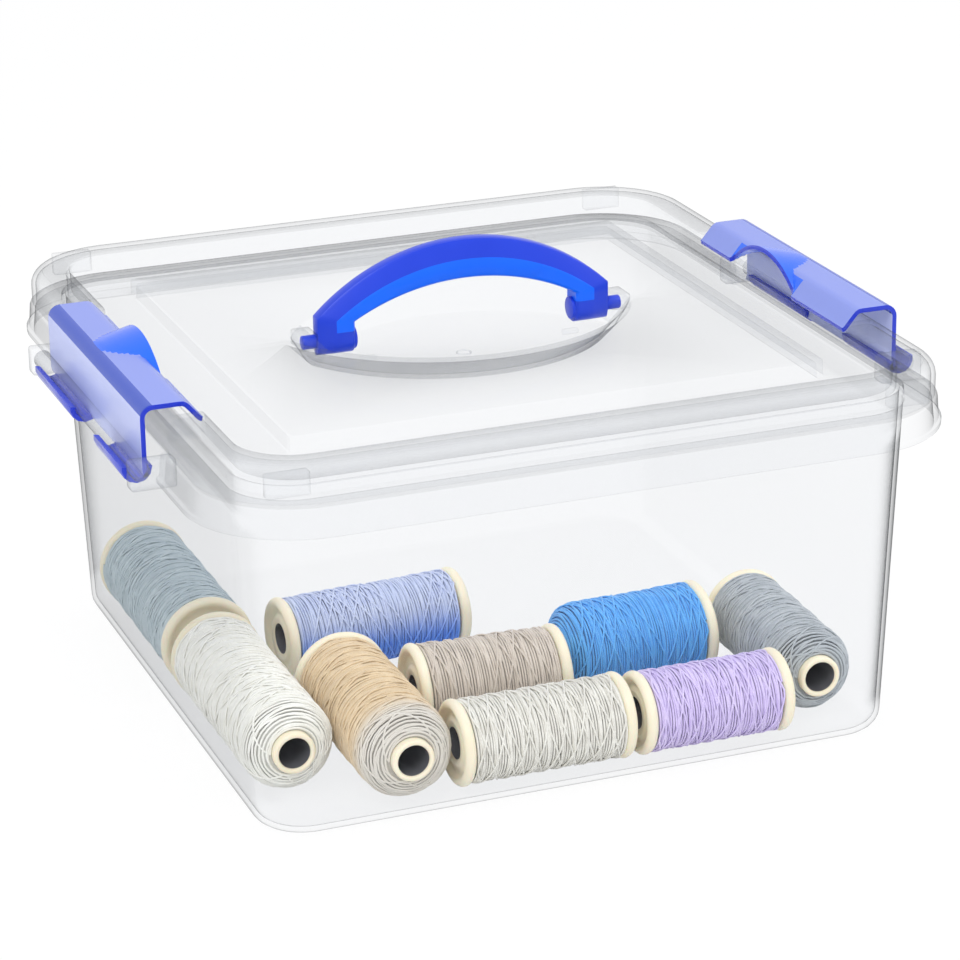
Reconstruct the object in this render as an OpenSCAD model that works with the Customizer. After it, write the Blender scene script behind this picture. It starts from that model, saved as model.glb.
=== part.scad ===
/* [Tub] */
// Width of the tub at its base, left to right
base_w = 275; // [240:1:300]
// Depth of the tub at its base, front to back
base_d = 281.6; // [250:0.2:310]
// How far the left and right walls lean out between the base and the flange
side_draft = 5.1; // [3:0.1:12]
// How far the front and rear walls lean out between the base and the flange
end_draft = 6.8; // [3:0.1:12]
// Height of the flange that the lid sits on
flange_z = 147.1; // [130:0.1:180]
// Wall thickness of the tub
wall = 1.8; // [1.4:0.1:2.2]
// Thickness of the tub's floor
floor_t = 2.4; // [1.6:0.1:4]
// Radius of the tub's upright corners at the base
base_corner_r = 22; // [16:1:30]
// Radius of the tub's upright corners at the rim
rim_corner_r = 25; // [18:1:34]
// Radius of the rounding between the floor and the walls
foot_r = 7; // [5:0.5:12]
// Height of the lip above the flange, inside the lid's channel
lip_h = 3.4; // [2:0.2:4]

/* [Flange] */
// How far the flange reaches out from the wall
flange_reach = 14.6; // [13:0.2:18]
// Thickness of the flange and its skirt
flange_t = 1.8; // [1.4:0.1:2.4]
// Height of the skirt that hangs from the flange
skirt_h = 12.6; // [9:0.2:18]
// How far the skirt flares out towards its lower edge
skirt_flare = 1.8; // [0.6:0.1:3]
// Height of the bead along the skirt's lower edge
bead_h = 3; // [2:0.2:5]
// How far the bead stands out
bead_out = 1; // [0.5:0.1:2]

/* [Hinge bars] */
// Radius of the bar that each latch turns on
bar_r = 4; // [3:0.1:4.5]
// Distance from the flange's edge out to the bar's axis
bar_out = 9.3; // [8.6:0.1:11]
// Distance from the flange's top down to the bar's axis
bar_drop = 5.8; // [5:0.1:7]
// Width of the blocks that hold the bar's ends
block_w = 8; // [5:0.5:14]
// How far the recess for the latch cuts into the flange
notch_in = 3.6; // [3:0.2:5]

/* [Lid] */
// Gap between the lid's skirt and the flange
seat_gap = 0.3; // [0.2:0.05:0.6]
// Wall thickness of the lid
lid_t = 1.8; // [1.4:0.1:2.2]
// Height of the lid from its lower edge to the rim's top
lid_h = 14.5; // [14:0.1:18]
// How far the lid's skirt stands back from the flange's edge
lid_inset = 1.1; // [0.6:0.1:2]
// Radius of the shoulder round the lid's rim
shoulder_r = 6.6; // [4:0.2:7]
// Radius of the lid's corners at its lower edge
lid_corner_r = 41; // [34:1:48]
// Sideways clearance between the tub's lip and the lid
lip_fit = 0.4; // [0.3:0.05:0.6]
// Depth of the channel floor below the rim's top
moat_depth = 11; // [9:0.2:11.2]
// Width of the raised panel, left to right
plateau_w = 229.5; // [200:0.5:240]
// Depth of the raised panel, front to back
plateau_d = 223.4; // [200:0.2:240]
// How far the raised panel lies below the rim's top
plateau_drop = 3.8; // [3:0.2:6]
// Thickness of the floor of the groove that takes a latch's lip
groove_t = 1.9; // [1.5:0.1:2.2]
// Width of the ridge that a latch hooks over
ridge_w = 5.2; // [4.4:0.1:6]
// Width of the four stop blocks in the lid's corners
stop_w = 18; // [10:1:24]
// Thickness of the stop blocks
stop_t = 5; // [3:0.5:7]

/* [Handle recess] */
// How far the lens-shaped recess goes past the handle's feet
lens_past = 11.5; // [9:0.5:16]
// Half width of the recess at its top
lens_half_w = 51; // [47:0.5:56]
// Half width of the recess at its floor
lens_floor_w = 41.5; // [40:0.5:46]
// Depth of the recess below the raised panel
lens_depth = 10.8; // [10:0.1:11.4]

/* [Handle] */
// Width of the handle outside
handle_w = 132; // [126:1:136]
// Thickness of each foot, along the pivot
foot_w = 16; // [12:0.5:18]
// Width of the handle front to back
handle_t = 12; // [9:0.5:12]
// Height of the grip's top above the pivot
grip_h = 37.4; // [34:0.2:37.8]
// Height of the outer shoulders above the pivot
shoulder_h = 10.4; // [8:0.2:12]
// Height of the inner corners above the pivot
inner_h = 8; // [7:0.2:12]
// Height of the grip's underside above the pivot
clear_h = 21; // [18:0.2:24]
// How far the bevel reaches down the grip's sides
bevel_h = 7; // [4:0.5:9]
// How far the bevel cuts into the grip's top
bevel_in = 3; // [1.5:0.1:3.5]
// Radius of the pivot pins
pin_r = 3; // [2.4:0.1:3.4]
// Length of the pivot pins outside the feet
pin_l = 6; // [4:0.2:7]
// Radial running clearance of the pivot pins
pin_fit = 0.06; // [0.03:0.01:0.1]
// Sideways clearance between the feet and their bearings
foot_gap = 0.5; // [0.4:0.05:1]
// Clearance under the feet and under the folded handle
fold_gap = 2.8; // [2.2:0.1:3.4]
// Half width of the two bearing blocks beside the feet
bearing_half = 6.5; // [5:0.1:8]
// Radius of the round boss inside each foot
boss_r = 5; // [4:0.1:5.4]
// Height of the round boss inside each foot
boss_h = 1.2; // [0.6:0.1:2]

/* [Latches] */
// Length of a latch, front to back
latch_l = 142; // [120:1:150]
// How far the latches' middle lies behind the box's middle
latch_y = -9; // [-20:1:10]
// Thickness of a latch's plate
latch_t = 2; // [1.8:0.1:2.2]
// Clearance over the lid's rim
latch_gap = 0.4; // [0.3:0.05:0.6]
// Width of the plate that lies over the rim
top_w = 16; // [15:0.2:16.4]
// How far the sloping leg runs inwards
leg_in = 5.6; // [5:0.1:6.2]
// How far the sloping leg runs down
leg_drop = 6.6; // [6:0.1:7]
// Radius of the bend along the latch's outer edge
bend_r = 3.4; // [2.6:0.1:4]
// Radial running clearance of the hooks on their bar
hook_fit = 0.06; // [0.03:0.01:0.1]
// Wall thickness of the hooks
hook_t = 2.3; // [1.8:0.1:2.4]
// Length of the front hook along its bar
front_hook_l = 42; // [30:1:50]
// Length of the rear hook along its bar
rear_hook_l = 58; // [30:1:60]
// Distance from the latch's rear end to the rear hook
rear_hook_in = 6; // [0:1:8]
// Angle of the opening that snaps over the bar
hook_open = 84; // [60:1:110]
// Gap between a latch's end and the block beside it
end_gap = 2; // [1:0.1:4]
// Height of the finger arch over the plate
arch_rise = 5; // [2:0.1:6]
// Half width of the finger arch at the lip
arch_half = 32; // [24:0.5:36]
// Angle at which the finger arch slopes back into the plate
arch_tilt = 14; // [10:0.5:16]

/* [Slate spool] */
// Length over all
slate_l = 104; // [80:1:112]
// Radius of the flange
slate_r = 20.5; // [17:0.5:21]

/* [White spool] */
// Length over all
white_l = 110; // [84:1:116]
// Radius of the flange
white_r = 20; // [17:0.5:21]

/* [Tan spool] */
// Length over all
tan_l = 92; // [74:1:98]
// Radius of the flange
tan_r = 20.5; // [17:0.5:21]

/* [Sky spool] */
// Length over all
sky_l = 85; // [70:1:90]
// Radius of the flange
sky_r = 18; // [16.5:0.5:21]

/* [Taupe spool] */
// Length over all
taupe_l = 66; // [56:1:72]
// Radius of the flange
taupe_r = 20; // [16.5:0.5:21]

/* [Ivory spool] */
// Length over all
ivory_l = 75; // [62:0.5:78]
// Radius of the flange
ivory_r = 18; // [16.5:0.5:19]

/* [Blue spool] */
// Radius of the flange
blue_r = 20.5; // [17:0.5:21]

/* [Lilac spool] */
// Radius of the flange
lilac_r = 17.5; // [16.5:0.5:19]

/* [Grey spool] */
// Length over all
grey_l = 83; // [68:1:90]
// Radius of the flange
grey_r = 18.5; // [16.5:0.5:20]

/* [Bobbins] */
// Radius of the hole through each spool
bore_r = 6.6; // [5:0.1:7]
// Wall thickness of the tube
tube_t = 2.2; // [1.6:0.1:2.6]
// Thickness of a flange at its rounded rim
rim_t = 5; // [4:0.2:6]
// Thickness of a flange inside its rim
web_t = 2.6; // [1.8:0.1:3.4]
// How far the tube stands out of the thread at an open end
tube_out = 4; // [3:0.2:6]

/* [Thread] */
// Thickness of the outer turns as modelled
strand = 1.8; // [1.4:0.1:2.2]
// Depth from the flange's edge down to the top of the thread
thread_drop = 0.6; // [0.4:0.05:1]
// Clearance between the outer turns and the thread below
turn_gap = 0.1; // [0.05:0.05:0.3]
// Turns in the outer layer of a short spool
short_turns = 7; // [5:1:8]
// Turns in the outer layer of a long spool
long_turns = 8; // [6:1:9]
// Rounding of the thread at an open end
dome_r = 10; // [6:0.5:11]

/* [Layout] */
// Gap between neighbouring spools
spool_gap = 0.6; // [0.5:0.1:3]
// Gap between the spools and the tub's walls
wall_gap = 0.6; // [0.5:0.1:3]
// Height of the spools above the floor at rest
rest_gap = 0.3; // [0.1:0.05:0.5]
// Distance from the front wall to the white spool
white_front = 29; // [10:1:32]
// Gap between the white spool and the slate spool
slate_back = 10; // [4:1:16]
// Distance from the front wall to the tan spool
tan_front = 3; // [0:0.5:10]
// Gap between the ivory spool and the taupe spool
taupe_back = 9.5; // [1:0.5:14]
// Gap between the taupe spool and the sky spool
sky_back = 41; // [30:1:50]
// Gap between the slate spool and the sky spool
sky_side = 9; // [4:1:12]
// Gap between the ivory spool and the lilac spool
lilac_side = 4.2; // [1:0.1:8]
// Gap between the lilac spool and the blue spool
blue_back = 26.5; // [8:0.5:34]
// Gap between the blue spool and the grey spool
grey_side = 6; // [2:0.5:8]
// Gap between the lilac spool and the grey spool
lilac_end = 1; // [0.6:0.1:4]
// Gap between the grey spool and the right wall
grey_wall = 2.9; // [1:0.1:6]
// Distance from the front wall to the grey spool
grey_front = 17.5; // [6:0.5:34]

/* [Hidden] */
$fn = 96;
corner_fn = 64;
slice = 0.01;
foot_flat = 2;
over = 1;
turn_rings = 12;
turn_sides = 5;

// Heights, from the floor up
rim_z = flange_z + lip_h;
lid_z = flange_z + seat_gap;
top_z = lid_z + lid_h;
moat_z = top_z - moat_depth;
plateau_z = top_z - plateau_drop;
lens_z = plateau_z - lens_depth;
groove_z = rim_z + lip_fit + groove_t;
skirt_z = flange_z - skirt_h;
pivot_z = lens_z + fold_gap + handle_t / 2;

// Half sizes in plan, from the wall outwards
function half_w(z) = base_w / 2 + side_draft * z / flange_z;
function half_d(z) = base_d / 2 + end_draft * z / flange_z;
function corner(z) = base_corner_r + (rim_corner_r - base_corner_r) * z / flange_z;
floor_w = half_w(0) - foot_r - foot_flat;
floor_d = half_d(0) - foot_r - foot_flat;
floor_corner = base_corner_r - foot_r - foot_flat;
flange_w = half_w(flange_z) + flange_reach;
flange_d = half_d(flange_z) + flange_reach;
flange_corner = lid_corner_r + lid_inset + 1;
lid_w = flange_w - lid_inset;
lid_d = flange_d - lid_inset;
ring_in = wall + lip_fit + lid_t;
ring_w = half_w(flange_z) - ring_in;
ring_d = half_d(flange_z) - ring_in;
ring_corner = rim_corner_r - ring_in;
ridge_x = lid_w - ridge_w;
bar_x = flange_w + bar_out;
bar_z = flange_z - bar_drop;
notch_x = flange_w - notch_in;
notch_half = latch_l / 2 + end_gap;
hook_r = bar_r + hook_fit;
plate_x = bar_x - hook_r;

// Handle arcs, each from its chord and rise
function arc_r(half, rise) = (half * half + rise * rise) / (2 * rise);
outer_half = handle_w / 2;
inner_half = handle_w / 2 - foot_w;
outer_r = arc_r(outer_half, grip_h - shoulder_h);
inner_r = arc_r(inner_half, clear_h - inner_h);
lens_half_l = outer_half + lens_past;
lens_r = arc_r(lens_half_l, lens_half_w);
lens_mid = lens_r - lens_half_w;
lens_slope = (lens_half_w - lens_floor_w) / lens_depth;
lens_wall = lid_t / cos(atan(lens_slope));
function lens_r_at(z) = lens_r + (z - plateau_z) * lens_slope;
arch_r = arc_r(arch_half, arch_rise + leg_drop + latch_t);

// Spools: where each one lies, as half sizes in plan when turned by an angle
sky_turn = 3;
taupe_turn = -3;
blue_turn = 2;
lilac_turn = 0;
grey_turn = 88;
function plan_x(l, r, a) = l / 2 * abs(cos(a)) + r * abs(sin(a));
function plan_y(l, r, a) = l / 2 * abs(sin(a)) + r * abs(cos(a));
function axis_z(r) = floor_t + rest_gap + r;
function in_w(r) = half_w(axis_z(r)) - wall - wall_gap;
function in_d(r) = half_d(axis_z(r)) - wall - wall_gap;

white_x = white_r - in_w(white_r);
white_y = white_front + white_l / 2 - in_d(white_r);
slate_x = slate_r - in_w(slate_r);
slate_y = white_y + white_l / 2 + slate_back + slate_l / 2;
tan_x = white_x + white_r + spool_gap + tan_r;
tan_y = tan_front + tan_l / 2 - in_d(tan_r);
ivory_x = tan_x + tan_r + spool_gap + ivory_l / 2;
ivory_y = ivory_r - in_d(ivory_r);
// The grey spool lies at the right wall, and the blue and the lilac one fill the row up to it
grey_x = in_w(grey_r) - grey_wall - plan_x(grey_l, grey_r, grey_turn);
grey_edge = grey_x - plan_x(grey_l, grey_r, grey_turn);
function filling(low, high, r, a) = (high - low - 2 * r * sin(a)) / cos(a);
lilac_left = ivory_x + ivory_l / 2 + lilac_side;
lilac_l = filling(lilac_left, grey_edge - lilac_end, lilac_r, lilac_turn);
lilac_x = (lilac_left + grey_edge - lilac_end) / 2;
lilac_y = plan_y(lilac_l, lilac_r, lilac_turn) - in_d(lilac_r);
taupe_x = tan_x + tan_r + spool_gap + plan_x(taupe_l, taupe_r, taupe_turn);
taupe_y = ivory_y + ivory_r + taupe_back + plan_y(taupe_l, taupe_r, taupe_turn);
blue_left = taupe_x + plan_x(taupe_l, taupe_r, taupe_turn) + spool_gap;
blue_l = filling(blue_left, grey_edge - grey_side, blue_r, blue_turn);
blue_x = (blue_left + grey_edge - grey_side) / 2;
blue_y = lilac_y + plan_y(lilac_l, lilac_r, lilac_turn) + blue_back
    + plan_y(blue_l, blue_r, blue_turn);
grey_y = grey_front + plan_y(grey_l, grey_r, grey_turn) - in_d(grey_r);
sky_x = slate_x + slate_r + sky_side + plan_x(sky_l, sky_r, sky_turn);
sky_y = taupe_y + plan_y(taupe_l, taupe_r, taupe_turn) + sky_back
    + plan_y(sky_l, sky_r, sky_turn);

// A rectangle of half sizes w and d with round corners
module plan(w, d, r) {
    square([2 * w, 2 * (d - r)], center = true);
    square([2 * (w - r), 2 * d], center = true);
    for (sx = [-1, 1], sy = [-1, 1])
        translate([sx * (w - r), sy * (d - r)]) circle(r, $fn = corner_fn);
}

module slab(w, d, r, z, h) {
    translate([0, 0, z]) linear_extrude(h) plan(w, d, r);
}

// The tub's form, shrunk by a wall, with its rounded foot
module tub_form(shrink, low, high) {
    round_r = foot_r - shrink;
    hull() {
        for (a = [0:22.5:90]) {
            z = low + round_r * (1 - cos(a));
            side = shrink + round_r * (1 - sin(a));
            slab(half_w(z) - side, half_d(z) - side, corner(z) - side, z, slice);
        }
        slab(half_w(high) - shrink, half_d(high) - shrink, corner(high) - shrink,
            high - slice, slice);
    }
}

// The flange's skirt as a flared solid, shrunk by its thickness
module skirt_form(shrink, low) {
    hull() {
        slab(flange_w - shrink, flange_d - shrink, flange_corner - shrink,
            flange_z - slice, slice);
        slab(flange_w + skirt_flare - shrink, flange_d + skirt_flare - shrink,
            flange_corner + skirt_flare - shrink, low, slice);
    }
}

module flange() {
    bead = skirt_flare + bead_out;
    difference() {
        union() {
            skirt_form(0, skirt_z);
            slab(flange_w + bead, flange_d + bead, flange_corner + bead, skirt_z, bead_h);
        }
        intersection() {
            skirt_form(flange_t, skirt_z - over);
            slab(flange_w * 2, flange_d * 2, flange_corner, skirt_z - over,
                skirt_h + over - flange_t);
        }
    }
}

module hinge_bar() {
    reach = bar_x + bar_r + flange_t;
    translate([bar_x, latch_y, bar_z]) rotate([90, 0, 0])
        cylinder(h = 2 * notch_half + block_w, r = bar_r, center = true);
    for (s = [-1, 1])
        translate([notch_x - over, latch_y + s * (notch_half + block_w / 2) - block_w / 2,
                skirt_z])
            cube([reach - notch_x + over, block_w, skirt_h]);
}

module tub() {
    color([0.9, 0.93, 0.95, 0.4])
    difference() {
        union() {
            tub_form(0, 0, rim_z);
            difference() {
                flange();
                for (s = [-1, 1])
                    translate([s * (notch_x + flange_w) - flange_w, latch_y - notch_half,
                            skirt_z - over])
                        cube([2 * flange_w, 2 * notch_half, skirt_h + 2 * over]);
            }
            hinge_bar();
            mirror([1, 0, 0]) hinge_bar();
        }
        tub_form(wall, floor_t, rim_z + over);
        slab(floor_w, floor_d, floor_corner, -over, floor_t + 2 * over);
    }
}

// The flat middle of the tub's floor
module tub_floor() {
    color([0.9, 0.93, 0.95, 0.4]) slab(floor_w, floor_d, floor_corner, 0, floor_t);
}

// The lid's outer form
module lid_form() {
    hull() {
        slab(lid_w, lid_d, lid_corner_r, lid_z, slice);
        for (a = [0:15:90]) {
            side = shoulder_r * (1 - cos(a));
            slab(lid_w - side, lid_d - side, lid_corner_r - side,
                top_z - shoulder_r + shoulder_r * sin(a) - slice, slice);
        }
    }
}

// The hollow of the lid, bevelled to follow the shoulder
module lid_hollow() {
    bevel = (2 - sqrt(2)) * (shoulder_r - lid_t);
    side = lid_t + bevel;
    hull() {
        slab(lid_w - lid_t, lid_d - lid_t, lid_corner_r - lid_t, lid_z - over,
            lid_h + over - side);
        slab(lid_w - side, lid_d - side, lid_corner_r - side, lid_z - over,
            lid_h + over - lid_t);
    }
}

// The recess between two heights: two cones meet in a lens whose walls lean outwards
module lens(low, high, grow) {
    intersection() {
        translate([0, lens_mid, low])
            cylinder(h = high - low, r1 = lens_r_at(low) + grow, r2 = lens_r_at(high) + grow,
                $fn = 192);
        translate([0, -lens_mid, low])
            cylinder(h = high - low, r1 = lens_r_at(low) + grow, r2 = lens_r_at(high) + grow,
                $fn = 192);
    }
}

module bearing_ends() {
    inner = outer_half + foot_gap;
    for (s = [-1, 1])
        translate([s * (inner + lens_half_l / 2) - lens_half_l / 2, -lens_half_w])
            square([lens_half_l, 2 * lens_half_w]);
}

module channel() {
    difference() {
        lid_hollow();
        slab(ring_w + lid_t, ring_d + lid_t, ring_corner + lid_t, 0, top_z + over);
        for (s = [-1, 1])
            translate([s * lid_w - lid_w / 2, latch_y - notch_half - lid_t, rim_z + lip_fit])
                cube([lid_w, 2 * (notch_half + lid_t), lid_h]);
        for (sx = [-1, 1], sy = [-1, 1])
            translate([sx * (ring_w - stop_w / 2) - stop_w / 2,
                    sy * (lid_d - lid_t - stop_t / 2) - stop_t / 2, rim_z])
                cube([stop_w, stop_t, lid_h]);
    }
}

module lid_shell() {
    difference() {
        union() {
            difference() {
                lid_form();
                channel();
                // Over the raised panel, and the sunk channel round it
                slab(ring_w, ring_d, ring_corner, plateau_z, lid_h);
                difference() {
                    slab(ring_w, ring_d, ring_corner, moat_z, lid_h);
                    translate([-plateau_w / 2, -plateau_d / 2, 0])
                        cube([plateau_w, plateau_d, top_z]);
                }
                // The underside of the panel
                translate([lid_t - plateau_w / 2, lid_t - plateau_d / 2, 0])
                    cube([plateau_w - 2 * lid_t, plateau_d - 2 * lid_t, plateau_z - lid_t]);
                slab(ring_w + lid_t, ring_d + lid_t, ring_corner + lid_t, 0, moat_z - lid_t);
            }
            lens(lens_z - lid_t, plateau_z, lens_wall);
        }
        // The recess that the handle folds into
        difference() {
            lens(lens_z, top_z, 0);
            linear_extrude(plateau_z) bearing_ends();
        }
        // The grooves for the latches' lips
        for (s = [-1, 1])
            translate([s * (ridge_x - ridge_w * 2) - ridge_w * 2, latch_y - notch_half, groove_z])
                cube([ridge_w * 4, 2 * notch_half, lid_h]);
    }
}

module lid() {
    bearing_l = pin_l + foot_gap + lid_t;
    color([0.92, 0.94, 0.96, 0.4])
    difference() {
        union() {
            lid_shell();
            for (s = [-1, 1])
                translate([s * (outer_half + foot_gap + bearing_l / 2) - bearing_l / 2,
                        -bearing_half, plateau_z - over])
                    cube([bearing_l, 2 * bearing_half,
                        pivot_z + pin_r + pin_fit + lid_t - plateau_z + over]);
        }
        // The bearings for the handle's pins
        for (s = [-1, 1])
            translate([s * outer_half, 0, pivot_z]) rotate([0, s * 90, 0])
                cylinder(h = pin_l + 2 * foot_gap, r = pin_r + pin_fit);
    }
}

module grip_profile() {
    difference() {
        intersection() {
            translate([0, grip_h - outer_r]) circle(outer_r, $fn = 192);
            translate([-outer_half, 0]) square([handle_w, grip_h]);
        }
        intersection() {
            translate([0, clear_h - inner_r]) circle(inner_r, $fn = 192);
            translate([-inner_half, -over]) square([2 * inner_half, grip_h]);
        }
    }
}

module handle() {
    color([0.1, 0.35, 0.95])
    translate([0, 0, pivot_z]) {
        difference() {
            rotate([90, 0, 0]) linear_extrude(handle_t, center = true) grip_profile();
            translate([0, 0, grip_h - outer_r]) rotate([90, 0, 0])
                for (s = [-1, 1])
                    rotate_extrude($fn = 192)
                        polygon([[outer_r - bevel_h, s * handle_t / 2],
                            [outer_r, s * (handle_t / 2 - bevel_in)],
                            [outer_r + over, s * (handle_t / 2 - bevel_in)],
                            [outer_r + over, s * (handle_t / 2 + over)],
                            [outer_r - bevel_h, s * (handle_t / 2 + over)]]);
        }
        for (s = [-1, 1]) {
            translate([s * inner_half, 0, 0]) rotate([0, s * 90, 0])
                cylinder(h = foot_w, r = handle_t / 2);
            translate([s * (inner_half - boss_h), 0, 0]) rotate([0, s * 90, 0])
                cylinder(h = boss_h + over, r = boss_r);
            translate([s * (outer_half - over), 0, 0]) rotate([0, s * 90, 0])
                cylinder(h = pin_l + over, r = pin_r);
        }
    }
}

// Section of a latch, drawn for the right side
module latch_plate() {
    low = top_z + latch_gap;
    high = low + latch_t;
    inner = plate_x - top_w;
    foot_z = bar_z - hook_r;
    translate([plate_x - latch_t, foot_z + hook_t])
        square([latch_t, high - bend_r - foot_z - hook_t]);
    polygon([[plate_x, foot_z + hook_t], [plate_x - latch_t, foot_z + hook_t],
        [plate_x - latch_t - latch_gap, foot_z], [plate_x - latch_gap, foot_z]]);
    translate([inner, low]) square([top_w - bend_r, latch_t]);
    translate([plate_x - bend_r, high - bend_r]) intersection() {
        difference() {
            circle(bend_r);
            circle(bend_r - latch_t);
        }
        square(bend_r);
    }
    polygon([[inner, low], [inner, high], [inner - leg_in, high - leg_drop],
        [inner - leg_in, low - leg_drop]]);
    translate([inner - leg_in, low - leg_drop + latch_t / 2]) circle(latch_t / 2);
}

module hook_section() {
    translate([bar_x, bar_z]) difference() {
        circle(hook_r + hook_t);
        circle(hook_r);
        polygon([[0, 0], 3 * hook_r * [cos(10), sin(10)],
            3 * hook_r * [cos(10 + hook_open / 2), sin(10 + hook_open / 2)],
            3 * hook_r * [cos(10 + hook_open), sin(10 + hook_open)]]);
    }
}

// The finger arch: a barrel that slopes back into the plate
module arch_barrel(r, long) {
    inner = plate_x - top_w - leg_in;
    crown = top_z + latch_gap + latch_t + arch_rise;
    translate([inner, -latch_y, crown]) rotate([0, arch_tilt, 0])
        translate([-long, 0, -arch_r]) rotate([0, 90, 0])
            cylinder(h = top_w + leg_in + long, r = r, $fn = 128);
}

module latch() {
    low = top_z + latch_gap;
    inner = plate_x - top_w - leg_in;
    difference() {
        union() {
            rotate([90, 0, 0]) linear_extrude(latch_l, center = true) latch_plate();
            translate([0, front_hook_l - latch_l / 2, 0]) rotate([90, 0, 0])
                linear_extrude(front_hook_l) hook_section();
            translate([0, latch_l / 2 - rear_hook_in, 0]) rotate([90, 0, 0])
                linear_extrude(rear_hook_l) hook_section();
            intersection() {
                arch_barrel(arch_r, 0);
                // The arch stands on the plate and ends flush with the leg's underside
                translate([0, arch_half - latch_y, 0]) rotate([90, 0, 0])
                    linear_extrude(2 * arch_half)
                        polygon([[inner, low - leg_drop], [inner + leg_in, low],
                            [inner + top_w, low], [inner + top_w, low + latch_t + arch_rise],
                            [inner, low + latch_t + arch_rise]]);
            }
        }
        intersection() {
            arch_barrel(arch_r - latch_t, over * 4);
            translate([inner - leg_in, -latch_l / 2, low - 2 * leg_drop])
                cube([top_w + leg_in - bend_r, latch_l, 4 * leg_drop]);
        }
    }
}

module right_latch() {
    color([0.45, 0.5, 0.9, 0.8]) translate([0, latch_y, 0]) latch();
}

module left_latch() {
    color([0.45, 0.5, 0.9, 0.8]) mirror([1, 0, 0]) translate([0, latch_y, 0]) latch();
}

// Sizes of the thread on a bobbin of flange radius r
function turn_r(r) = r - thread_drop - strand / 2;
function core_r(r) = turn_r(r) * cos(180 / turn_rings) - strand / 2 - turn_gap;
function thread_end(l, open) = open ? l / 2 - tube_out : l / 2 - rim_t - turn_gap;

// One flange: a round rim, a thinner web and the tube's mouth
module flange_section(l, r) {
    out = l / 2;
    translate([r - rim_t / 2, out - rim_t / 2]) circle(rim_t / 2, $fn = 48);
    polygon([[bore_r, out - rim_t], [r - rim_t / 2, out - rim_t], [r - rim_t / 2, out - rim_t / 4],
        [r - rim_t, out - rim_t + web_t], [bore_r + tube_t * 2, out - rim_t + web_t],
        [bore_r + tube_t, out - rim_t / 4], [bore_r, out - rim_t / 4]]);
}

// A bobbin on its own axis, with a flange at each closed end
module bobbin(l, r, low_open, high_open) {
    color([0.95, 0.92, 0.82])
    rotate_extrude() {
        translate([bore_r, -l / 2 + rim_t / 2])
            square([tube_t, l - rim_t]);
        if (high_open) translate([bore_r, 0]) square([tube_t, l / 2]);
        else flange_section(l, r);
        if (low_open) translate([bore_r, -l / 2]) square([tube_t, l / 2]);
        else mirror([0, 1]) flange_section(l, r);
    }
}

module thread_core(l, r, low_open, high_open) {
    hole = bore_r + tube_t + turn_gap / 2;
    high = thread_end(l, high_open);
    low = -thread_end(l, low_open);
    body = core_r(r);
    rotate_extrude() difference() {
        union() {
            translate([hole, low + (low_open ? dome_r : 0)])
                square([body - hole, high - low - (low_open ? dome_r : 0)
                    - (high_open ? dome_r : 0)]);
            if (high_open) thread_dome(hole, body, high);
            if (low_open) mirror([0, 1]) thread_dome(hole, body, -low);
        }
        translate([-over, -l]) square([hole + over, 2 * l]);
    }
}

// The rounded and sloping end of the thread at an open end
module thread_dome(hole, body, end) {
    intersection() {
        union() {
            translate([body - dome_r, end - dome_r]) circle(dome_r);
            translate([hole, end - dome_r]) square([body - dome_r - hole, dome_r]);
        }
        translate([0, end - dome_r]) square([body, dome_r]);
    }
}

// The outer layer of turns: one unbroken helix whose ends turn along the axis
function helix_point(i, n, r, low, pitch) =
    let (a = 360 * i / turn_rings) [r * cos(a), r * sin(a), low + pitch * i / turn_rings];
function turn_path(n, r, low, pitch) =
    let (last = n * turn_rings,
        first_p = helix_point(0, n, r, low, pitch),
        last_p = helix_point(last, n, r, low, pitch))
    concat([first_p + [0, 0, -2 * strand], first_p + [0, 0, -strand]],
        [for (i = [1:last - 1]) helix_point(i, n, r, low, pitch)],
        [last_p + [0, 0, strand], last_p + [0, 0, 2 * strand]]);
function unit(v) = v / norm(v);
function ring_at(path, i) =
    let (count = len(path),
        along = unit(i == 0 ? path[1] - path[0]
            : i == count - 1 ? path[count - 1] - path[count - 2]
            : unit(path[i + 1] - path[i]) + unit(path[i] - path[i - 1])),
        out = unit([path[i][0], path[i][1], 0]),
        side = unit(cross(along, out)),
        up = cross(side, along))
    [for (k = [0:turn_sides - 1]) let (a = 360 * k / turn_sides)
        path[i] + strand / 2 * (cos(a) * up + sin(a) * side)];
function tube_points(path) = [for (i = [0:len(path) - 1]) each ring_at(path, i)];
function tube_faces(count) = concat(
    [for (k = [1:turn_sides - 2]) [0, k + 1, k]],
    [for (i = [0:count - 2], k = [0:turn_sides - 1], half = [0, 1])
        let (a = i * turn_sides + k, b = i * turn_sides + (k + 1) % turn_sides)
        half == 0 ? [a, b, b + turn_sides] : [a, b + turn_sides, a + turn_sides]],
    [for (k = [1:turn_sides - 2]) let (e = (count - 1) * turn_sides) [e, e + k, e + k + 1]]);
function least_gap(path) = min([for (i = [0:len(path) - 1], j = [i + turn_rings / 2:1:len(path) - 1])
    norm(path[i] - path[j])]) - strand;

module outer_turns(l, r, low_open, high_open, n, name) {
    high = thread_end(l, high_open) - (high_open ? dome_r + strand : 0);
    low = -thread_end(l, low_open) + (low_open ? dome_r + strand : 0);
    start = low + 2 * strand + turn_gap;
    pitch = (high - low - 4 * strand - 2 * turn_gap) / n;
    path = turn_path(n, turn_r(r), start, pitch);
    echo(str(name, " least gap between turns, mm"), least_gap(path));
    polyhedron(tube_points(path), tube_faces(len(path)));
}

// Lays a spool down at its place, turned in plan
module lay(x, y, r, turn) {
    translate([x, y, axis_z(r)]) rotate([0, 0, turn]) rotate([0, 90, 0]) children();
}

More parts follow.
